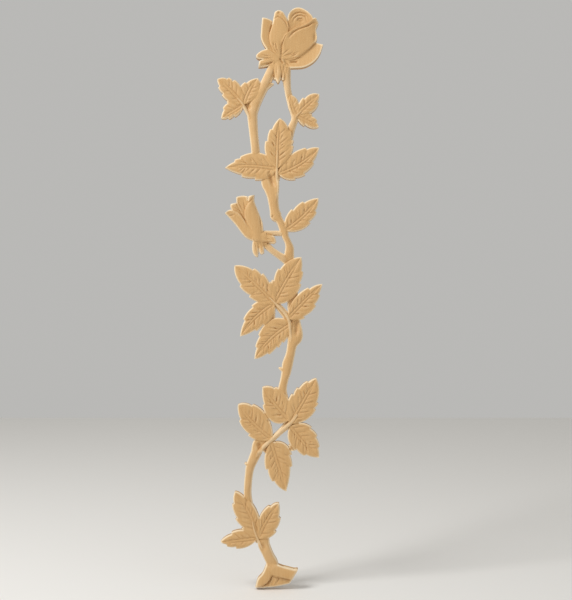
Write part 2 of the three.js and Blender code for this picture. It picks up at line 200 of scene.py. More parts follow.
leaves = {
    "leftClusterUp": {"base": (26, 96), "tip": (0.3, 70.8), "bend": 1, "lift": 0.03,
                      "left": side(9, 0.48, 0.6, 0.82), "right": side(12, 0.55, 0.65, 0.81)},
    "leftClusterInner": {"base": (27, 96), "tip": (40.5, 70), "bend": -1.7, "lift": 0.02,
                         "left": side(11.8, 0.45, 0.68), "right": side(8.4, 0.55)},
    "leftClusterDown": {"base": (26, 97), "tip": (4, 110), "bend": -0.6,
                        "left": side(6, 0.5, 0.5, 0.75), "right": side(12, 0.4, 0.48, 0.74)},
    "rightClusterInner": {"base": (80, 109), "tip": (73.5, 86.5), "bend": -1.7, "lift": 0.02,
                          "left": side(6, 0.5), "right": side(7.4, 0.5, 0.55)},
    "rightClusterUp": {"base": (80, 106), "tip": (101.8, 86), "lift": 0.03,
                       "left": side(8.6, 0.54, 0.53), "right": side(8.9, 0.5, 0.78)},
    "rightClusterDown": {"base": (79, 108), "tip": (101.3, 118.5),
                         "left": side(8.9, 0.48, 0.56, 0.84), "right": side(6, 0.54, 0.45)},
    "threeUp": {"base": (60.5, 160), "tip": (62.5, 110), "bend": -1.1, "lift": 0.08,
                "left": side(14, 0.43, 0.53, 0.77), "right": side(15.2, 0.51, 0.46, 0.57, 0.76)},
    "threeLeft": {"base": (59, 161), "tip": (8, 159.5), "bend": 2.3,
                  "left": side(11.6, 0.36, 0.41, 0.67), "right": side(16.4, 0.4, 0.71, 0.82)},
    "threeRight": {"base": (61, 166), "tip": (101.8, 139.7), "bend": 3.5, "lift": 0.03,
                   "left": side(10, 0.5, 0.77), "right": side(15.4, 0.4, 0.24, 0.46, 0.74)},
    "single": {"base": (68, 222), "tip": (101, 190), "bend": 2.6, "lift": 0.02,
               "left": side(11, 0.44, 0.42, 0.71), "right": side(12.7, 0.46, 0.5, 0.76)},
    "upperLeft": {"base": (58, 296), "tip": (17.5, 257.3), "bend": 0.9, "lift": 0.05,
                  "left": side(13.2, 0.5, 0.43, 0.68), "right": side(14.2, 0.47, 0.34, 0.54, 0.71)},
    "upperTop": {"base": (57, 295), "tip": (84, 249), "bend": -1, "lift": 0.02,
                 "left": side(14.8, 0.5, 0.36, 0.6), "right": side(14.8, 0.42, 0.56, 0.78)},
    "upperRight": {"base": (71, 310), "tip": (105, 276), "bend": -0.6, "lift": 0.06,
                   "left": side(10, 0.48, 0.74), "right": side(12.6, 0.38, 0.25, 0.59, 0.8)},
    "upperLowLeft": {"base": (57, 295), "tip": (23, 328), "bend": 2.7, "lift": 0.04,
                     "left": side(10, 0.4, 0.48, 0.68), "right": side(14.2, 0.38, 0.38, 0.7)},
    "upperDown": {"base": (75, 315), "tip": (37.3, 350.6), "bend": 3.4,
                  "left": side(8.7, 0.49, 0.38, 0.52, 0.74), "right": side(18.4, 0.37, 0.63, 0.825)},
    "lowerTop": {"base": (72, 412), "tip": (45.2, 379), "bend": -0.9, "lift": 0.04,
                 "left": side(15.2, 0.36, 0.66), "right": side(13.8, 0.55, 0.8)},
    "lowerLeft": {"base": (55, 431), "tip": (20.8, 396.3), "bend": -2,
                  "left": side(14.8, 0.44, 0.4, 0.74), "right": side(13.6, 0.55, 0.78)},
    "lowerRightUp": {"base": (73, 415), "tip": (99, 370), "bend": 0.4, "lift": 0.06,
                     "left": side(13.7, 0.45, 0.5, 0.66, 0.86), "right": side(15.6, 0.46, 0.47, 0.6)},
    "lowerRightDown": {"base": (73, 418), "tip": (101.8, 449.2), "bend": 1.3,
                       "left": side(15.3, 0.4, 0.36, 0.6, 0.82), "right": side(13.4, 0.44, 0.5, 0.74)},
    "lowerDown": {"base": (54, 434), "tip": (69.1, 483),
                  "left": side(16.1, 0.31, 0.35, 0.57), "right": side(13.4, 0.49, 0.48, 0.74)},
    "footTop": {"base": (41, 530), "tip": (18, 483.3), "bend": 3.2, "lift": 0.05,
                "left": side(12.1, 0.5, 0.31, 0.52, 0.8), "right": side(10.8, 0.5, 0.74)},
    "footLeft": {"base": (40, 530), "tip": (3.5, 533.6), "bend": -0.6,
                 "left": side(9, 0.5, 0.6, 0.85), "right": side(10.1, 0.45, 0.68)},
    "footRight": {"base": (41, 530), "tip": (61.5, 495), "bend": -1.6, "lift": 0.03,
                  "left": side(9.9, 0.55, 0.82), "right": side(12.6, 0.4, 0.36, 0.7)},
}


def halfWidth(along, half):
    justBefore = along - 1e-6
    behind = [tooth for tooth in half["teeth"] if tooth < justBefore]
    ahead = [tooth for tooth in half["teeth"] if tooth >= justBefore]
    step = 0
    if behind:
        nextTooth = ahead[0] if ahead else 1
        step = (nextTooth - along) / (nextTooth - behind[-1])
    inside = min(max(along, 0), 1)
    rise = (inside / half["widest"]) ** half["widest"]
    fall = ((1 - inside) / (1 - half["widest"])) ** (1 - half["widest"])
    full = half["width"] * (rise * fall) ** leafCut["fullness"]
    return max(full - leafCut["toothDepth"] * step ** leafCut["toothCurve"], leafCut["pointWidth"] / 2)


# Where the rows meet the edge, with two rows close together at each notch.
def edgeStops(rows, half, length):
    stops = [row / rows + leafCut["sweep"] * 4 * row / rows * (1 - row / rows)
             for row in range(rows + 1)]
    for tooth in half["teeth"]:
        nearest = min(range(rows - 2), key=lambda row: abs(stops[row] - tooth))
        stops[nearest] = tooth
        stops[nearest + 1] = tooth + leafCut["notchWidth"] / length
    return stops


def bump(gap, reach):
    return smoothStep(1 - abs(gap) / reach)


# The side veins of one half of a leaf: place on the midrib in mm, strength, and how far out each ends.
def sideVeins(length, sign):
    spacing = veinCut["spacing"] if length > veinCut["shortLeaf"] else veinCut["closeSpacing"]
    place = veinCut["first"] * length + (spacing / 2 if sign > 0 else 0)
    veins = []
    turn = round(length) + (veinCut["turnAhead"] if sign > 0 else 0)
    while place < veinCut["last"] * length:
        inTurn = (veinCut[key][turn % len(veinCut[key])] for key in ("drift", "strokes", "reaches"))
        drift, stroke, end = inTurn
        veins.append((place + drift, stroke, end))
        place += spacing
        turn += 1
    return veins


# Depth of the fine cuts at a place on a leaf, in millimetres. Below 0 the midrib stands proud.
def veinDepth(along, out, reach, length, veins):
    place = along * length - veinCut["lead"] * reach * out ** veinCut["leadCurve"]
    cut = 0
    for vein, stroke, end in veins:
        gap = place - vein
        if abs(gap) < veinCut["pillowEnd"]:
            narrow = stroke * veinCut["depth"] * bump(gap, veinCut["halfWidth"])
            broad = veinCut["pillow"] * math.exp(-(gap / veinCut["pillowHalf"]) ** 2)
            cut = max(cut, (narrow + broad) * smoothStep((end - out) / veinCut["endFade"]))
    cut *= smoothStep((out - veinCut["start"]) / veinCut["startFade"]) * min(reach / veinCut["fullHalf"], 1)
    fromRib = out * reach
    fade = smoothStep(along / veinCut["ribStart"])
    fade *= smoothStep((veinCut["ribEnd"] - along) / veinCut["ribFade"])
    groove = fade * veinCut["groove"] * bump(fromRib - veinCut["grooveAt"], veinCut["grooveHalf"])
    rib = fade * veinCut["rib"] * bump(fromRib, veinCut["ribHalf"])
    return max(cut, groove) - rib


def leafHeight(along, out, reach, stop, half, lift, length, veins):
    inner = math.sin(math.pi / 2 * min(out / leafCut["swellAt"], 1))
    outer = smoothStep((out - leafCut["swellAt"]) / (1 - leafCut["swellAt"]))
    full = min(reach / leafCut["narrowHalf"], 1)
    middle = leafCut["shoulder"] + (leafCut["middle"] - leafCut["shoulder"]) * full
    swell = leafCut["shoulder"] + (leafCut["swell"] - leafCut["shoulder"]) * full
    rise = middle + (swell - middle) * inner - (swell - leafCut["shoulder"]) * outer
    for tooth in half["teeth"]:
        gap = (stop - tooth) * length / leafCut["valleyWidth"]
        deep = smoothStep((out - leafCut["valleyStart"]) / leafCut["valleyFade"])
        rise -= leafCut["valleyDepth"] * math.exp(-gap * gap) * deep
    roll = min(board["roundedEdge"], reach * leafCut["rollShare"])
    drop = (leafCut["shoulder"] - leafCut["edge"]) * roundOver((1 - out) * reach, roll)
    fromBase = smoothStep(along / leafCut["baseFade"])
    rise -= drop * (leafCut["baseDrop"] + (1 - leafCut["baseDrop"]) * fromBase)
    rise -= veinDepth(along, out, reach, length, veins) / board["thickness"]
    return rise + lift - leafCut["tipDrop"] * along ** 3


def carveLeaf(name, leaf):
    start = onDrawing(leaf["base"])
    end = onDrawing(leaf["tip"])
    length = (end - start).length
    forward = (end - start) / length
    aside = Vector((forward.y, -forward.x))
    rows = max(round(length / board["leafStep"]), leafCut["leastRows"])
    meanWidth = (leaf["left"]["width"] + leaf["right"]["width"]) / 2
    columns = 2 * max(round(meanWidth / board["leafStep"]), leafCut["leastColumns"])
    halves = {-1: leaf["left"], 1: leaf["right"]}
    veins = {sign: sideVeins(length, sign) for sign in halves}
    stops = {sign: edgeStops(rows, half, length) for sign, half in halves.items()}
    lines = []
    for row in range(rows + 1):
        along = row / rows
        bend = leaf.get("bend", 0) * 4 * along * (1 - along)
        spine = start + forward * length * along + aside * bend
        edges = {}
        for sign, half in halves.items():
            stop = stops[sign][row]
            edges[sign] = start + forward * length * stop + aside * sign * halfWidth(stop, half)
        lines.append((spine, edges))
    bm = startGrid(columns, rows)
    for vert in bm.verts:
        row = gridRow(vert, rows)
        sign = 1 if vert.co.x > 0 else -1
        out = closerEnds(abs(vert.co.x))
        spine, edges = lines[row]
        point = spine.lerp(edges[sign], out)
        rise = leafHeight(row / rows, out, (edges[sign] - spine).length, stops[sign][row],
                          halves[sign], leaf.get("lift", 0), length, veins[sign])
        vert.co = Vector((point.x, -rise * board["thickness"], point.y)) * mm
    return closeBlock(name, bm)


# Stems and stalks: across, down, width and height of the crown for each point
stemCut = {
    "edge": 0.36,
    "underCrown": 0.1,  # the side wall ends at least this far below the crown
    "roundness": 0.45,  # 0.5 is a half circle, higher is more like a roof
    "unevenness": 0.07,  # the knife's slight waves along the wood
    "waveLength": 14.0,
    "waveTwist": 2.5,
    "waveSlant": 0.4,
    "fullWave": 8,  # stems narrower than this have smaller waves
    "lookAhead": 0.002,  # share of the way on either side that a stem's direction is taken from
    "leastRows": 6,
    "leastColumns": 3,  # in each half
}

stems = {
    "leftStem": [
        (57, 56, 10, 0.75), (49.5, 72, 9.8, 0.7), (43.3, 84, 10, 0.62), (37.7, 95, 11.2, 0.62),
        (35.2, 104, 10.6, 0.67), (35.3, 112, 9.8, 0.67), (36.5, 126, 8.8, 0.67), (38, 140, 8.6, 0.67),
        (39, 152, 9, 0.48)],
    "rightStem": [
        (69.5, 60, 8.2, 0.75), (69.5, 72, 8.2, 0.7), (70.7, 82, 6.8, 0.67), (72.6, 90, 7.4, 0.52),
        (75.5, 99, 8.5, 0.52), (77.5, 106, 8, 0.62), (77.2, 112, 7, 0.67), (74.5, 119, 7.7, 0.6),
        (72.5, 128, 7.1, 0.48), (70.4, 138, 6.5, 0.48)],
    "lowWoodRose": [(60.5, 56, 11, 0.66), (60.7, 64, 10.5, 0.64), (60.8, 71, 9.5, 0.58)],
    "mainStem": [
        (56.6, 155.5, 20, 0.5), (52.8, 172, 18.2, 0.55), (54.1, 180, 15, 0.62), (55.4, 187, 12, 0.67),
        (56.2, 194, 10.4, 0.69), (57.4, 202, 10, 0.69), (58.8, 207.5, 11.6, 0.69), (61.8, 211.5, 7.8, 0.67),
        (64.2, 216, 7.8, 0.67), (66.7, 222, 8.6, 0.67), (68.1, 228, 6.9, 0.67), (70.8, 234, 6.8, 0.67),
        (72.4, 240, 8.8, 0.67), (72, 246, 9.8, 0.62), (72, 254, 11, 0.46), (73, 265, 11, 0.46)],
    "secondStem": [
        (73, 262, 11, 0.46), (75, 280, 11, 0.46), (75.5, 295, 11, 0.46), (76.5, 306, 12, 0.5),
        (76.8, 314, 13, 0.5), (77.7, 324, 15.6, 0.58), (77.3, 330, 15.4, 0.65), (74.9, 337, 10, 0.68),
        (72.9, 347, 9.4, 0.69), (70.3, 356, 10.8, 0.69), (69, 364, 9.6, 0.69), (67, 372, 8.2, 0.67),
        (65.2, 382, 8.8, 0.58), (67, 392, 9, 0.54), (69.5, 402, 8, 0.54), (72, 412, 8, 0.58)],
    "thirdStem": [
        (46, 429, 13, 0.5), (41, 437, 12, 0.54), (39.2, 444, 11, 0.62), (35.7, 452, 9.8, 0.67),
        (32.9, 459, 9, 0.68), (31.4, 468, 8, 0.68), (30.6, 477, 7.8, 0.68), (30.3, 486, 7.6, 0.62),
        (31.4, 496, 8.2, 0.5), (34.6, 508, 8, 0.46), (39, 522, 8, 0.5), (45, 528, 11.8, 0.54),
        (46.6, 537, 11.8, 0.62), (49.1, 543, 10.9, 0.69), (51.8, 549, 10.7, 0.7), (54.7, 555, 11.6, 0.7),
        (55.6, 562, 13, 0.7)],
    "lowWoodLeft": [(34, 90, 10, 0.44), (31.5, 98, 9.6, 0.42), (33, 106, 6, 0.42)],
    "lowWoodLower": [(76, 411, 12, 0.5), (65, 422, 6.2, 0.52), (54, 432, 6.6, 0.5), (44, 441, 12, 0.5)],
    "lowWoodUpper": [
        (59, 296, 6, 0.5), (64.5, 302, 7.2, 0.54), (68.9, 308, 7.4, 0.54), (71, 315, 8.6, 0.54)],
    "lowWoodUpperLeft": [(57.3, 294, 4, 0.48), (56.4, 303, 3.6, 0.48), (55.4, 313, 5, 0.48)],
    "lowWoodRight": [(73.4, 436.5, 4.4, 0.46), (74.5, 443, 5, 0.44)],
    "lowWoodFoot": [(38, 526, 6, 0.46), (41, 534.5, 5, 0.46)],
    "lowerStalk": [
        (80, 406, 4, 0.75), (74, 414, 4.8, 0.77), (65, 422, 4.8, 0.77), (55, 431, 4.8, 0.77),
        (45, 440, 5, 0.75), (40, 446.5, 5.6, 0.68), (36, 453, 5, 0.62)],
    "upperStalk": [
        (52, 289, 3, 0.7), (59, 296, 3.6, 0.74), (64, 301, 4.2, 0.75), (69, 307, 4.4, 0.75),
        (72, 314, 4.4, 0.75), (72.7, 322, 4.4, 0.74), (73.6, 333, 4.6, 0.68), (73.6, 343, 4.4, 0.62)],
    "threeStalk": [
        (60, 142, 2.6, 0.73), (59.5, 157, 3.4, 0.76), (59.7, 168, 4, 0.76), (60, 178, 4, 0.73),
        (59.2, 187, 4, 0.7), (58.4, 196, 4, 0.62)],
    "leftClusterStalk": [
        (20, 90, 2.6, 0.66), (24, 94, 3.4, 0.7), (29, 102, 3.6, 0.69), (32, 108, 3.6, 0.66),
        (34.5, 116, 3.6, 0.6)],
    "rightClusterStalk": [(84, 103, 3, 0.68), (79, 108, 3.4, 0.69), (77.5, 114, 3.4, 0.65)],
    "footStalk": [
        (35, 513, 2.6, 0.7), (37, 522, 3, 0.73), (40, 530, 3.6, 0.73), (44, 538, 3.6, 0.67),
        (47, 545, 3.6, 0.6)],
    "budTwig": [(44, 224.7, 5.2, 0.6), (54, 224.8, 5.2, 0.64), (65.5, 225, 5.2, 0.64)],
    "budStalk": [
        (48, 235, 7.4, 0.56), (51.5, 239, 6.9, 0.6), (56, 243, 6.5, 0.62), (61, 246.5, 6.9, 0.62),
        (67, 250.5, 8, 0.58), (72, 255, 8, 0.42)],
    "thornUpper": [(48.5, 77, 9, 0.62), (56.4, 75.1, 1, 0.5)],
    "thornMiddle": [(67.5, 362.5, 6.4, 0.64), (61.4, 359.6, 1.6, 0.5)],
    "thornLower": [(33.5, 459, 6, 0.64), (27.5, 455, 2, 0.52)],
}


def carveStem(name, points):
    path = [onDrawing(point) for point in points]
    widths = [point[2] for point in points]
    crowns = [point[3] for point in points]
    rows = max(round(pathLength(path) / board["rowStep"]), stemCut["leastRows"])
    columns = 2 * max(round(max(widths) / 2 / board["columnStep"]), stemCut["leastColumns"])
    lines = []
    for row in range(rows + 1):
        share = row / rows
        ahead = through(path, min(share + stemCut["lookAhead"], 1))
        behind = through(path, max(share - stemCut["lookAhead"], 0))
        forward = (ahead - behind).normalized()
        lines.append((through(path, share), Vector((forward.y, -forward.x)),
                      through(widths, share), through(crowns, share)))
    bm = startGrid(columns, rows)
    for vert in bm.verts:
        centre, aside, width, crown = lines[gridRow(vert, rows)]
        out = math.sin(math.pi / 2 * vert.co.x)
        point = centre + aside * out * width / 2
        edge = min(stemCut["edge"], crown - stemCut["underCrown"])
        rise = (edge + (crown - edge) * (1 - out * out) ** stemCut["roundness"]) * board["thickness"]
        turn = point.y / stemCut["waveLength"] * 2 * math.pi
        wave = math.sin(turn + out * stemCut["waveTwist"] + point.x * stemCut["waveSlant"])
        rise += stemCut["unevenness"] * wave * (1 - out * out) * min(width / stemCut["fullWave"], 1)
        vert.co = Vector((point.x * mm, -rise * mm, point.y * mm))
    return closeBlock(name, bm)


# Petals, sepals and the faces of the foot: two edge curves from foot to free end, and the heights of the
# left edge, the middle and the right edge
petalCut = {
    "wall": 0.09,  # drop of the rounded edge
    "endWall": 0.06,  # drop of the rounded free end
    "endRound": 1.2,
    "edgeRound": 1.4,
    "roundShare": 0.2,  # most of the width that a rounded edge takes
    "leastRows": 8,
    "leastColumns": 8,
}

petals = {
    "roseLowWood": {
        "left": [(60, 56), (53, 42), (54.4, 15.8)],
        "right": [(70, 56), (84, 46), (90, 24)],
        "heights": (0.56, 0.6, 0.56)},
    "roseBack": {
        "left": [(73, 44), (71.5, 26), (70.5, 10), (73, 4)],
        "right": [(93, 44), (96, 22), (95.6, 9.8), (89.8, 3.6)],
        "heights": (0.86, 0.74, 0.86), "dome": 4.2, "dip": 0.36},
    "roseLeft": {
        "left": [(57, 50), (48, 39.5), (43.9, 31), (43.9, 23), (45, 10)],
        "right": [(60, 48), (55, 36), (53.8, 26), (55.2, 13)],
        "heights": (0.8, 0.76, 0.66), "dome": 0.8, "dip": 0.1},
    "roseOuter": {
        "left": [(63, 50), (79, 48), (91, 40), (98, 34.3)],
        "right": [(68, 60), (76, 60.2), (87, 59.2), (96.6, 54), (102.6, 46.3), (105.8, 37)],
        "heights": (0.6, 0.68, 0.82), "dip": 0.08},
    "roseLarge": {
        "left": [(65, 37), (69.5, 26.5), (74, 23), (85, 18.5), (92.5, 14.5), (96, 11), (98.8, 10.9)],
        "right": [(64, 51), (75, 52), (86, 46.5), (95.8, 37), (99.8, 31), (98.9, 22), (101.2, 15.5)],
        "heights": (1.03, 0.9, 0.8), "dip": 0.17},
    "roseMiddle": {
        "left": [(59, 50), (53, 37), (52, 27), (54.6, 18), (57.4, 5)],
        "right": [(64, 50), (65, 37), (70.7, 26), (71, 14), (66.2, 4.8)],
        "heights": (0.86, 0.93, 0.88), "dome": 1.9, "dip": 0.22},
    "roseSepalUp": {
        "left": [(61, 54), (52, 53), (45, 51.5), (41, 51), (39, 49.3)],
        "right": [(62, 48), (54, 41), (46, 42), (41, 45), (39, 47.3)],
        "heights": (0.74, 0.8, 0.72)},
    "roseSepalDown": {
        "left": [(61, 55), (50, 58.2), (46, 59), (41.2, 59.3)],
        "right": [(61, 51), (52, 50.5), (43, 52.5), (41.4, 57.3)],
        "heights": (0.66, 0.78, 0.74)},
    "roseSepalMiddle": {
        "left": [(58, 50), (57, 60), (57.5, 69), (60.3, 75)],
        "right": [(64, 50), (65.5, 60), (64, 69), (61.3, 75)],
        "heights": (0.72, 0.84, 0.76), "dip": 0.1},
    "roseSepalRight": {
        "left": [(62, 50), (64.5, 60), (64.5, 72)],
        "right": [(67, 50), (68.5, 60), (67.5, 72)],
        "heights": (0.7, 0.75, 0.7)},
    "budBackLeft": {
        "left": [(33, 228), (20, 210), (13.6, 200), (13.4, 195.8)],
        "right": [(37, 226), (26, 208), (21, 198), (19.4, 194.4)],
        "heights": (0.6, 0.66, 0.6)},
    "budBackRight": {
        "left": [(34, 226), (24, 206), (19.6, 196), (19.1, 189)],
        "right": [(40, 224), (33, 204), (31, 196), (30.6, 188.4)],
        "heights": (0.66, 0.6, 0.7), "dome": 1.2},
    "budLeft": {
        "left": [(36, 233), (27.6, 228.6), (18.4, 216.8), (11, 208.5), (7.8, 205.3)],
        "right": [(38, 229), (30, 216), (23, 206), (14, 201.6), (9, 203.6)],
        "heights": (0.6, 0.74, 0.78)},
    "budRight": {
        "left": [(37, 233), (29, 217), (27, 204), (29.6, 196), (31.4, 188)],
        "right": [(46, 233), (45.6, 216), (40.9, 203), (37.2, 193), (37.2, 186.8)],
        "heights": (0.74, 0.84, 0.66)},
    "budCup": {
        "left": [(50, 236), (42, 236), (35, 232.7)],
        "right": [(49, 224), (40, 224), (34, 228)],
        "heights": (0.66, 0.78, 0.7)},
    "budSepalLeft": {
        "left": [(36, 230), (34.8, 238), (35.6, 244.5), (38.2, 248.5)],
        "right": [(41, 230), (41.7, 238), (41.3, 244), (40.7, 248.8)],
        "heights": (0.6, 0.72, 0.64)},
    "budSepalMiddle": {
        "left": [(40, 230), (41.1, 238), (42.4, 244.6), (44.4, 246.3)],
        "right": [(47, 230), (47, 238), (46.8, 242), (46.9, 244.8)],
        "heights": (0.6, 0.7, 0.62)},
    "budSepalRight": {
        "left": [(42, 235), (50, 235), (57, 235.7)],
        "right": [(44, 226), (52, 226.3), (57.2, 228.4), (59, 233.6)],
        "heights": (0.7, 0.76, 0.68)},
    "footSunk": {
        "left": [(49.4, 555), (45.5, 564.5), (40.5, 570.5), (38, 579.3)],
        "right": [(63, 557.2), (76, 560.5), (80.6, 561.7), (72.5, 575)],
        "heights": (0.6, 0.66, 0.6), "dome": 1.4},
    "footLeft": {
        "left": [(49.4, 556), (45.5, 564.5), (40.5, 570.5), (38.4, 578.8)],
        "right": [(62, 560), (55.5, 566), (53, 571), (46, 577.5)],
        "heights": (0.74, 0.82, 0.8)},
    "footTop": {
        "left": [(50.5, 562), (55, 566.5), (63, 569), (75, 571)],
        "right": [(58, 555), (65, 557.6), (72, 559.6), (80.5, 561.4)],
        "heights": (0.86, 0.86, 0.76)},
}


# Points at even distances along a smooth curve.
def evenPoints(points, rows):
    path = [onDrawing(point) for point in points]
    steps = 200
    fine = [through(path, step / steps) for step in range(steps + 1)]
    run = np.cumsum([0] + [(b - a).length for a, b in zip(fine, fine[1:])])
    shares = np.interp(np.linspace(0, run[-1], rows + 1), run, np.linspace(0, 1, steps + 1))
    return [through(path, share) for share in shares]


def carvePetal(name, petal):
    length = pathLength([onDrawing(point) for point in petal["left"]])
    rows = max(round(length / board["rowStep"]), petalCut["leastRows"])
    left = evenPoints(petal["left"], rows)
    right = evenPoints(petal["right"], rows)
    spans = [(b - a).length for a, b in zip(left, right)]
    middles = [(a + b) / 2 for a, b in zip(left, right)]
    columns = max(round(max(spans) / board["columnStep"]), petalCut["leastColumns"])
    low, high, far = petal["heights"]
    bm = startGrid(columns, rows)
    for vert in bm.verts:
        row = gridRow(vert, rows)
        along = row / rows
        out = closerEnds((vert.co.x + 1) / 2)
        arch = 4 * out * (1 - out)
        ahead = min(row + 1, rows)
        forward = (middles[ahead] - middles[ahead - 1]).normalized()
        point = left[row].lerp(right[row], out) + forward * petal.get("dome", 0) * arch * along ** 4
        span = max(spans[row], leafCut["pointWidth"])
        roll = min(petalCut["edgeRound"], span * petalCut["roundShare"])
        drop = petalCut["wall"] * roundOver(min(out, 1 - out) * span, roll)
        drop = max(drop, petalCut["endWall"] * roundOver((1 - along) * length, petalCut["endRound"]))
        rise = low + (far - low) * out + (high - (low + far) / 2) * arch
        rise -= drop + petal.get("dip", 0) * (1 - along) ** 2
        vert.co = Vector((point.x, -rise * board["thickness"], point.y)) * mm
    return closeBlock(name, bm)


blocks = [carveStem(name, points) for name, points in stems.items()]
blocks += [carveLeaf(name, leaf) for name, leaf in leaves.items()]
blocks += [carvePetal(name, petal) for name, petal in petals.items()]
print("blocks cut:", len(blocks))


# A block that takes in all the wood behind the back plane, with room to spare
def wasteBlock():
    depth = board["waste"] * 4 * mm
    bm = bmesh.new()
    bmesh.ops.create_cube(bm, size=1)
    bmesh.ops.scale(bm, verts=bm.verts[:], vec=(1, depth, 1))
    bmesh.ops.translate(bm, verts=bm.verts[:], vec=(0, depth / 2, 0))
    return toObject("waste", bm)


# All blocks become one piece of wood, and the back is sawn flat.
def joinBlocks(pieces):
    scene = bpy.context.scene
    tools = bpy.data.collections.new("blocks")
    scene.collection.children.link(tools)
    scene.collection.objects.link(pieces[0])
    for piece in pieces[1:]:
        tools.objects.link(piece)
    union = pieces[0].modifiers.new("union", "BOOLEAN")
    union.operation = "UNION"
    union.operand_type = "COLLECTION"
    union.collection = tools
    union.solver = "MANIFOLD"
    waste = wasteBlock()
    scene.collection.objects.link(waste)
    sawn = pieces[0].modifiers.new("sawn", "BOOLEAN")
    sawn.operation = "DIFFERENCE"
    sawn.object = waste
    sawn.solver = "MANIFOLD"
    shown = pieces[0].evaluated_get(bpy.context.evaluated_depsgraph_get())
    mesh = bpy.data.meshes.new_from_object(shown)
    for piece in pieces + [waste]:
        bpy.data.objects.remove(piece)
    bpy.data.collections.remove(tools)
    return mesh


# Two faces on the same corners are a flake with no thickness.
def dropFlakes(bm):
    bm.verts.index_update()
    seen = {}
    flakes = set()
    for face in bm.faces:
        corners = frozenset(vert.index for vert in face.verts)
        if corners in seen:
            flakes.update((face, seen[corners]))
        seen[corners] = face
    bmesh.ops.delete(bm, geom=list(flakes), context="FACES")


def openEdges(bm):
    return sum(not edge.is_manifold for edge in bm.edges)


sprayMesh = joinBlocks(blocks)
carving = bmesh.new()
carving.from_mesh(sprayMesh)
dropFlakes(carving)
print("joined:", len(carving.faces), "faces,", openEdges(carving), "open edges")

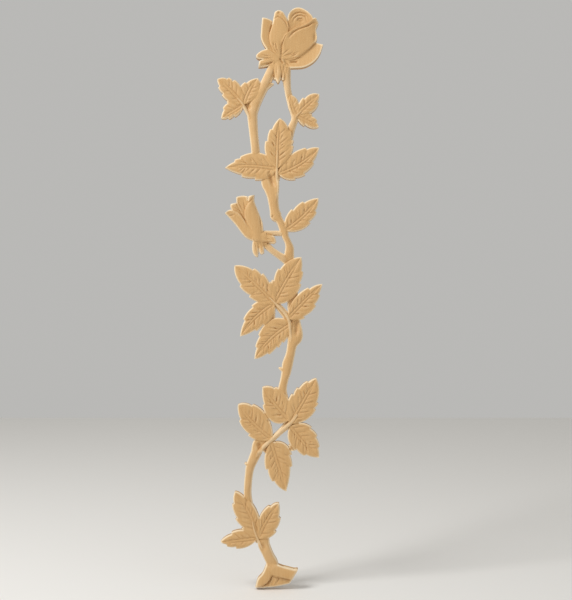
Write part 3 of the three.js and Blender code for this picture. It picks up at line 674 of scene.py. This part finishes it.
# Gouge cuts, as lines on the drawing. Each kind has a half width, a depth in mm, which is below 0 where the
# wood stands proud, and the share of a line that tapers at either end.
gouges = {
    "deepVeins": {"halfWidth": 0.9, "depth": 0.6, "taper": 0.35, "lines": [
        # three leaves
        [(58, 126), (60, 131)], [(55, 133), (57, 139)], [(53, 143), (56, 148)], [(66.5, 126), (64, 130)],
        [(67, 135.5), (63.5, 138)], [(68, 143), (62, 148)], [(33, 150), (35, 154)], [(43.5, 151), (46, 154)],
        [(22, 153), (30, 155)], [(29, 159), (25, 165)], [(37, 161), (34, 163.5)], [(70, 154), (69, 157)],
        [(78, 151), (76, 155)], [(86, 148), (84, 150)], [(72, 162), (74, 164.5)], [(80, 159), (81, 160.5)],
        # single leaf
        [(74, 211), (74, 215)], [(80.5, 204), (81, 208)], [(87.5, 200), (87, 204)],
        # upper cluster
        [(40, 269), (39, 276)], [(46.5, 275), (46.5, 279)], [(33, 265), (33, 269)], [(49, 280), (53, 285)],
        [(35, 284.5), (41, 283.5)], [(31, 274), (35, 273)], [(62.5, 268), (63.5, 275)],
        [(67, 259), (69, 267)], [(58.5, 278), (60, 282)], [(68, 278.5), (72, 278)],
        [(63, 285.5), (70, 284.5)], [(71, 270), (75, 269)], [(74.5, 296), (74, 300)],
        [(81, 290), (81, 295)], [(87, 286), (88, 289)], [(86, 299), (90, 298)], [(79, 305.5), (83, 305)],
        [(33, 305), (40, 304)], [(29, 312), (33, 311.5)], [(49, 303), (49, 308)],
        [(43, 307), (42.5, 313)], [(37, 312), (37.5, 317)], [(48, 326), (53, 325.5)],
        [(43, 334), (48, 333.5)], [(56, 319.5), (60, 320.5)], [(57, 328), (56.5, 336)],
        [(63, 327), (62, 331)], [(51, 337), (51.5, 342)],
        # lower cluster
        [(59.5, 388), (59.5, 394)], [(65.5, 392), (65.5, 397)], [(52, 393.5), (56, 395.5)],
        [(54, 400.5), (61, 401)], [(58, 406), (65, 407)], [(33, 402), (33, 407)], [(39, 408), (38.5, 414)],
        [(45.5, 414), (45, 422)], [(31, 417), (35, 417)], [(38, 424), (43, 423.5)], [(81.5, 387), (82, 393)],
        [(86.5, 382), (88, 387)], [(76, 395), (78.5, 403)], [(77.5, 424), (77.5, 432)],
        [(83.5, 430), (83.5, 438)], [(88.5, 433), (89.5, 442)], [(92, 433.5), (95, 434)],
        [(53, 447), (54, 451)], [(59, 460), (58, 465)], [(61, 462), (61, 469)], [(67, 454), (70, 456)],
        [(64, 460), (68, 464)],
        # leaves above the foot
        [(28.5, 494), (28.5, 502)], [(44.5, 510), (45, 518)], [(49.5, 508), (50, 513)],
    ]},
    "petalFolds": {"halfWidth": 1.0, "depth": 0.7, "taper": 0.4, "lines": [
        [(54.5, 15), (57, 11.5), (61, 9.3), (65, 11.5), (68.5, 15.5), (70.5, 20.5), (71.5, 25)],
        [(55, 14), (53.5, 20), (52, 27)], [(16, 201.5), (21, 203), (24, 206), (28, 212), (32, 220)],
        [(54, 566), (60, 567.5), (67, 569.5), (75, 572)], [(60, 567), (61.6, 570.6), (59.4, 575)],
        [(65, 49), (71, 46.7), (77, 44.5)], [(74, 49), (81, 45)],
        [(56, 34), (57, 39)], [(58, 34), (60, 43)], [(65, 34), (63, 42)],
        [(67, 56), (67, 64)], [(70, 59), (70, 66)],
        [(12, 208), (18, 206.5)], [(36.5, 190), (31, 195), (29.5, 198)],
    ]},
    "rolledEdges": {"halfWidth": 1.2, "depth": 0.95, "taper": 0.3, "lines": [
        [(73.5, 12), (75, 8.7), (78, 5.8), (83, 4.5), (88.5, 6.3), (92.3, 11)],
        [(75.5, 15), (77, 10.5), (80, 8), (84, 7.4), (88, 9), (89.5, 13.5)],
        [(79.5, 14), (81, 11.3), (84.5, 10.8), (86.5, 13)],
        [(37.5, 194), (39.6, 201), (43, 209), (44.6, 221)],
    ]},
    "calyxFolds": {"halfWidth": 0.8, "depth": 0.65, "taper": 0.5, "lines": [
        [(61, 48.5), (55, 43.5), (49.7, 39.5)], [(61.7, 47.5), (57, 41.5), (53.8, 37.8)],
        [(62.7, 47), (59.5, 41), (58, 37)], [(63.8, 46.5), (63.8, 39)], [(64.7, 48), (68.5, 44), (73, 41)],
        [(66.3, 50), (75, 46.5), (83, 43.5)], [(67, 52), (78, 50), (86, 49.5)], [(68, 53.5), (73, 58.5)],
        [(60, 57), (59, 66), (60, 71)], [(63.5, 56), (63.5, 64)], [(42, 46), (49, 48), (57, 49.5)],
        [(43, 50.5), (50, 50.5), (57, 50.5)], [(44, 55), (50, 53.7), (57, 51.5)],
        [(44, 58), (50, 56), (57, 53)], [(57, 58), (56, 65), (53.5, 71)], [(66.5, 57), (67, 66)],
        [(15, 198.5), (22, 202), (25.5, 206)],
        [(20, 192.5), (23.6, 198.4), (26.4, 203.5)], [(26, 191), (27, 196.3), (27.9, 203)],
        [(47.5, 230), (55, 231.8)], [(38, 233), (39, 243)], [(43.5, 233), (45, 242)],
        [(26.5, 209), (31, 217), (36, 225)],
    ]},
    "deepFolds": {"halfWidth": 1.5, "depth": 1.3, "taper": 0.25, "lines": [
        [(71, 31), (76, 25), (81, 22), (87, 20), (91, 18.5), (95, 16), (99, 15.5)],
        [(63, 52), (66.5, 56)], [(72, 54), (81, 54)], [(56, 54), (48, 57)],
        [(45, 234.5), (55, 234.5)], [(62, 51.5), (64.5, 51.5)],
        [(54.5, 566), (53.3, 571), (50, 575.5), (44, 577.5)],
    ]},
    "hollows": {"halfWidth": 2.6, "depth": 1.0, "taper": 0.4, "lines": [
        [(97.5, 25), (97.5, 35)], [(60, 5.3), (64, 5.3)], [(80, 13), (87, 13)], [(47, 579), (53, 577)],
        [(51, 411), (52, 414)], [(45, 534), (48, 542)], [(32, 97), (32, 101)], [(79, 413), (86, 413)],
        [(39, 511), (40, 520), (42, 529)], [(54, 208), (56, 209)],
    ]},
    "forks": {"halfWidth": 3.4, "depth": 1.9, "taper": 0.3, "lines": [
        [(52, 163), (54, 171), (56.5, 179)], [(79, 311), (79.5, 320), (78.5, 328)], [(41, 434), (43.5, 443)],
    ]},
    "ridges": {"halfWidth": 1.2, "depth": -0.5, "taper": 0.3, "lines": [
        [(69, 27), (74, 23), (79, 20), (85, 18), (92, 15), (96, 11.5)],
        [(66, 10), (70, 15), (71.5, 20), (71, 25), (68, 28), (65, 34), (63, 42)],
        [(55, 52), (43, 56)], [(58, 568), (58.4, 572), (56, 577)],
    ]},
}


# Distance to a line on the drawing and the share of the way along it, for many points at once.
def nearLine(spots, line):
    path = np.array([onDrawing(point) for point in line])
    steps = np.diff(path, axis=0)
    lengths = np.linalg.norm(steps, axis=1)
    run = np.concatenate(([0], np.cumsum(lengths)))
    best = np.full(len(spots), np.inf)
    share = np.zeros(len(spots))
    for index, step in enumerate(steps):
        offset = spots - path[index]
        along = np.clip(offset @ step / lengths[index] ** 2, 0, 1)
        gap = np.linalg.norm(offset - along[:, None] * step, axis=1)
        closer = gap < best
        best[closer] = gap[closer]
        share[closer] = (run[index] + along[closer] * lengths[index]) / run[-1]
    return best, share


taperCurve = 0.7  # under 1 a line soon reaches its full depth


def taperOff(share, taper):
    return np.clip(np.minimum(share, 1 - share) / taper, 0, 1) ** taperCurve


# How deep the gouges cut at each point, in millimetres. Below 0 the wood stands proud.
def gougeDepth(spots):
    cut = np.zeros(len(spots))
    proud = np.zeros(len(spots))
    for kind in gouges.values():
        for line in kind["lines"]:
            gap, share = nearLine(spots, line)
            inside = np.clip(1 - gap / kind["halfWidth"], 0, 1)
            depth = abs(kind["depth"]) * eased(inside) * taperOff(share, kind["taper"])
            target = cut if kind["depth"] > 0 else proud
            np.maximum(target, depth, out=target)
    return cut - proud


def meshSpots(points):
    return np.stack((points[:, 0], points[:, 2]), axis=1) / mm


# The carved face is what looks forward and lies clear of the back.
carvedFace = {
    "looks": -0.1,  # most that y of a normal may be, where 0 is a side wall
    "above": 2,
    "kept": 1.5,  # wood that the gouges leave above the back
    "backRoom": 0.05,  # points lower than this belong to the back
}

# The mesh is made finer where the gouges go, and then they cut it.
refine = {
    "longest": 0.55,  # of the edges that stay whole
    "looks": -0.3,
    "least": 0.04,  # shallowest cut that needs it
}
edges = [edge for edge in carving.edges if edge.calc_length() > refine["longest"] * mm
         and min(vert.normal.y for vert in edge.verts) < refine["looks"]
         and max(vert.co.y for vert in edge.verts) < -carvedFace["above"] * mm]
centres = np.array([(edge.verts[0].co + edge.verts[1].co) / 2 for edge in edges])
busy = np.abs(gougeDepth(meshSpots(centres))) > refine["least"]
chosen = [edge for edge, near in zip(edges, busy) if near]
bmesh.ops.subdivide_edges(carving, edges=chosen, cuts=1, use_grid_fill=True)
bmesh.ops.triangulate(carving, faces=[face for face in carving.faces if len(face.verts) > 4])
dropFlakes(carving)
carving.normal_update()
carving.to_mesh(sprayMesh)
print("refined:", sum(len(face.verts) - 2 for face in carving.faces), "triangles,",
      openEdges(carving), "open edges")
carving.free()


def readRows(items, name, width, kind=float):
    values = np.empty(len(items) * width, dtype=kind)
    items.foreach_get(name, values)
    return values.reshape(-1, width)


points = readRows(sprayMesh.vertices, "co", 3)
normals = readRows(sprayMesh.vertex_normals, "vector", 3)
ends = readRows(sprayMesh.edges, "vertices", 2, int)
count = len(points)
height = -points[:, 1] / mm
facing = (normals[:, 1] < carvedFace["looks"]) & (height > carvedFace["above"])
inner = ends[facing[ends[:, 0]] & facing[ends[:, 1]]]
neighbours = np.maximum(np.bincount(inner.ravel(), minlength=count), 1)

# The outline is where the front meets a side wall that runs down to the back.
atBack = height < carvedFace["backRoom"]
walls = ends[atBack[ends[:, 0]] != atBack[ends[:, 1]]]
outline = np.unique(walls[~atBack[walls]])
# The pale band along the outline is a painted highlight.
paleEdge = {
    "flat": 0.2,  # mm from the outline that are all pale
    "width": 1.7,  # mm to where the wood has its own colour again
    "back": -3,  # value at the back, so that the pale band ends a quarter of the way down the side walls
}
spots = meshSpots(points)
outlineTree = kdtree.KDTree(len(outline))
for index in outline:
    outlineTree.insert((spots[index, 0], spots[index, 1], 0), int(index))
outlineTree.balance()
gaps = np.array([outlineTree.find((spot[0], spot[1], 0))[2] for spot in spots])
rim = np.clip((paleEdge["width"] - gaps) / (paleEdge["width"] - paleEdge["flat"]), 0, 1)
rim[atBack] = paleEdge["back"]

# Sanding: joins between leaves, stalks and petals are softened, and more so in some places.
sanding = {
    "passes": 2,
    "rounds": 7,
    "pull": 0.6,  # how far a round draws a height to the mean of its neighbours
    "sharp": 0.28,  # mm of relief that the sanding leaves alone
    "kept": 0.3,  # share that is left of the rest
    "soft": [  # across, down, radius and rounds
        (60, 53, 17, 26), (46, 233, 13, 14), (57, 560, 13, 12), (57, 180, 12, 8), (87, 47, 11, 9),
        (65, 40, 8, 8),
    ],
    "softMiddle": 1.6,  # over 1 the middle of a soft place is sanded in full
}


# Each value on the carved face is drawn towards the mean of its neighbours.
def evenOut(values, rounds):
    level = values.copy()
    for _ in range(rounds):
        total = np.bincount(inner[:, 0], level[inner[:, 1]], count)
        total += np.bincount(inner[:, 1], level[inner[:, 0]], count)
        drawn = level * (1 - sanding["pull"]) + total / neighbours * sanding["pull"]
        level = np.where(facing, drawn, level)
    return level


for _ in range(sanding["passes"]):
    level = evenOut(height, sanding["rounds"])
    relief = height - level
    proud = np.abs(relief)
    gentle = np.minimum(proud, sanding["sharp"]) + np.maximum(proud - sanding["sharp"], 0) * sanding["kept"]
    height += (np.sign(relief) * gentle - relief) * (1 - rim)
for across, down, radius, rounds in sanding["soft"]:
    centre = np.array(onDrawing((across, down)))
    near = np.clip(1 - np.linalg.norm(spots - centre, axis=1) / radius, 0, 1)
    near = eased(near) * (1 - rim)
    height += (evenOut(height, rounds) - height) * np.minimum(near * sanding["softMiddle"], 1)

depth = np.zeros(count)
depth[facing] = gougeDepth(spots[facing])
height -= np.minimum(depth, np.maximum(height - carvedFace["kept"], 0))
points[facing, 1] = -height[facing] * mm

# The finished carving takes exactly the room of the solid.
low, high = points.min(axis=0), points.max(axis=0)
room = np.array(solidHigh) - np.array(solidLow)
points = (points - low) / (high - low) * room + np.array(solidLow)
sprayMesh.vertices.foreach_set("co", points.ravel())

# How proud or sunk a place is and how near the outline, kept as two attributes for the painted shade and
# painted highlight on the wood
paintedLightRelief = {"rounds": 10, "scale": 0.9}  # the scale is mm above or below the places around it
proudness = np.clip((height - evenOut(height, paintedLightRelief["rounds"])) / paintedLightRelief["scale"], -1, 1) * 0.5 + 0.5
for name, values in (("proudness", proudness), ("rim", rim)):
    attribute = sprayMesh.attributes.new(name, "FLOAT", "POINT")
    attribute.data.foreach_set("value", values)
sprayMesh.update()
print("carved: deepest cut", round(float(depth.max()), 2), "mm, box", (high - low) / mm)


# Materials
def hexColour(code):
    values = [int(code[i:i + 2], 16) / 255 for i in (0, 2, 4)]
    linear = [v / 12.92 if v <= 0.04045 else ((v + 0.055) / 1.055) ** 2.4 for v in values]
    return (*linear, 1)


def addNode(tree, kind, settings=None, inputs=None, links=None):
    node = tree.nodes.new(kind)
    for name, value in (settings or {}).items():
        setattr(node, name, value)
    for name, value in (inputs or {}).items():
        node.inputs[name].default_value = value
    for name, source in (links or {}).items():
        tree.links.new(source, node.inputs[name])
    return node


# Rubberwood, carved and finely sanded, left raw: pale tan, even, with faint long grain and a dry, soft shine.
# Cut-in places get painted shade, and the outline and proud places a painted highlight.
rubberwood = {
    "colours": {"pale": "CFA974", "tan": "C2965E", "deep": "9B6A39", "paintedHighlight": "F4E2C0"},
    "noises": {  # size in mm across and along the grain
        "streaks": {"size": (1.6, 26), "Detail": 4.0, "Roughness": 0.6, "Distortion": 0.4},
        "patches": {"size": (60, 120), "Detail": 2.0},
        "pores": {"size": (0.7, 6), "Detail": 3.0, "Roughness": 0.7},  # coarser than real, so that they show
    },
    "tones": [  # what a colour follows, from and to which value, its least and greatest share, and the colour
        ("streaks", 0.3, 0.7, 0.15, 0.75, "tan"),
        ("patches", 0.35, 0.7, 0.0, 0.35, "tan"),
        ("pores", 0.62, 0.78, 0.0, 0.35, "deep"),
        # painted shade: sunk places turn darker, as if shaded
        ("proudness", 0.46, 0.2, 0.0, 0.9, "deep"),
        # painted highlight: the outline and proud places turn paler, as if lit
        ("rim", 0.0, 1.0, 0.0, 0.85, "paintedHighlight"),
        ("proudness", 0.56, 0.85, 0.0, 0.3, "paintedHighlight"),
    ],
    "roughness": (0.3, 0.7, 0.52, 0.66),  # over the streaks, as in a tone
    "bump": 0.06,  # mm, the raised grain
    "bumpStrength": 0.5,
}


def makeRubberwood():
    material = bpy.data.materials.new("rubberwood_carved_sanded")
    material.use_nodes = True
    tree = material.node_tree
    tree.nodes.clear()
    coords = addNode(tree, "ShaderNodeTexCoord")
    sources = {}
    for name, noise in rubberwood["noises"].items():
        settings = dict(noise)
        acrossGrain, alongGrain = (1 / (size * mm) for size in settings.pop("size"))
        place = addNode(tree, "ShaderNodeMapping", inputs={"Scale": (acrossGrain, acrossGrain, alongGrain)},
                        links={"Vector": coords.outputs["Object"]})
        made = addNode(tree, "ShaderNodeTexNoise", inputs={"Scale": 1.0, **settings},
                       links={"Vector": place.outputs["Vector"]})
        sources[name] = made.outputs["Fac"]
    for name in ("proudness", "rim"):
        sources[name] = addNode(tree, "ShaderNodeAttribute", {"attribute_name": name}).outputs["Fac"]
    colours = {name: hexColour(code) for name, code in rubberwood["colours"].items()}
    rangeNames = ("From Min", "From Max", "To Min", "To Max")
    under = {}
    for source, *values, colour in rubberwood["tones"]:
        share = addNode(tree, "ShaderNodeMapRange", inputs=dict(zip(rangeNames, values)),
                        links={"Value": sources[source]})
        tone = addNode(tree, "ShaderNodeMix", {"data_type": "RGBA"},
                       {"A": colours["pale"], "B": colours[colour]},
                       {"Factor": share.outputs["Result"], **under})
        under = {"A": tone.outputs["Result"]}
    rough = addNode(tree, "ShaderNodeMapRange", inputs=dict(zip(rangeNames, rubberwood["roughness"])),
                    links={"Value": sources["streaks"]})
    grain = addNode(tree, "ShaderNodeBump",
                    inputs={"Strength": rubberwood["bumpStrength"], "Distance": rubberwood["bump"] * mm},
                    links={"Height": sources["streaks"]})
    shader = addNode(tree, "ShaderNodeBsdfPrincipled", inputs={"IOR": 1.5, "Metallic": 0.0},
                     links={"Base Color": under["A"], "Roughness": rough.outputs["Result"],
                            "Normal": grain.outputs["Normal"]})
    addNode(tree, "ShaderNodeOutputMaterial", links={"Surface": shader.outputs["BSDF"]})
    return material


spray = bpy.data.objects.new("rose_spray", sprayMesh)
bpy.context.scene.collection.objects.link(spray)
sprayMesh.materials.clear()
sprayMesh.materials.append(makeRubberwood())
sprayMesh.shade_smooth()
sprayMesh.set_sharp_from_angle(angle=math.radians(board["sharpAngle"]))
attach(spray, "root")
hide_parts(nodeName)
print("wood finished")

# A pale floor under the spray, soft light from the upper left and a weak fill from the right, in metres
studio = {
    "floorColour": "E9E7E3",
    "floorRoughness": 0.9,
    "floorSize": 3.2,
    "floorGap": 0.002,
    "skyColour": "F2F1EE",
    "skyStrength": 0.55,
    "lights": {
        "keyLight": {"place": (-1.0, -0.75, 1.05), "size": 0.7, "power": 21},
        "fillLight": {"place": (1.1, -1.2, 0.1), "size": 1.2, "power": 4},
    },
}


def addFloor():
    bm = bmesh.new()
    bmesh.ops.create_grid(bm, x_segments=1, y_segments=1, size=studio["floorSize"] / 2)
    bmesh.ops.translate(bm, verts=bm.verts[:], vec=(0, 0, solidLow.z - studio["floorGap"]))
    floor = toObject("floor", bm)
    paint = bpy.data.materials.new("matt_pale_board")
    paint.use_nodes = True
    shader = paint.node_tree.nodes["Principled BSDF"]
    shader.inputs["Base Color"].default_value = hexColour(studio["floorColour"])
    shader.inputs["Roughness"].default_value = studio["floorRoughness"]
    floor.data.materials.append(paint)
    bpy.context.scene.collection.objects.link(floor)


def addLight(name, place, size, power):
    data = bpy.data.lights.new(name, "AREA")
    data.size = size
    data.energy = power
    light = bpy.data.objects.new(name, data)
    light.location = place
    light.rotation_euler = (-Vector(place)).to_track_quat("-Z", "Y").to_euler()
    bpy.context.scene.collection.objects.link(light)


addFloor()
for name, light in studio["lights"].items():
    addLight(name, **light)
sky = bpy.data.worlds.new("paleRoom")
bpy.context.scene.world = sky
sky.use_nodes = True
background = sky.node_tree.nodes["Background"]
background.inputs["Color"].default_value = hexColour(studio["skyColour"])
background.inputs["Strength"].default_value = studio["skyStrength"]
bpy.context.scene.view_settings.view_transform = "Standard"

# The camera stands straight in front of the photo's middle, with the whole height of the photo in view.
photo = {
    "height": 600,  # mm at the carving, and so are the two places of its middle
    "middleX": 15.5,
    "middleZ": -1.75,
    "distance": 1.1,  # m
    "sensor": 36,  # mm
}
camera = bpy.data.objects.new("camera", bpy.data.cameras.new("camera"))
camera.data.sensor_width = photo["sensor"]
camera.data.lens = photo["sensor"] * photo["distance"] / (photo["height"] * mm)
halfThickness = 0.5 * board["thickness"] * mm
camera.location = (photo["middleX"] * mm, -photo["distance"] - halfThickness, photo["middleZ"] * mm)
camera.rotation_euler = (math.pi / 2, 0, 0)
bpy.context.scene.collection.objects.link(camera)
bpy.context.scene.camera = camera
print("studio set")
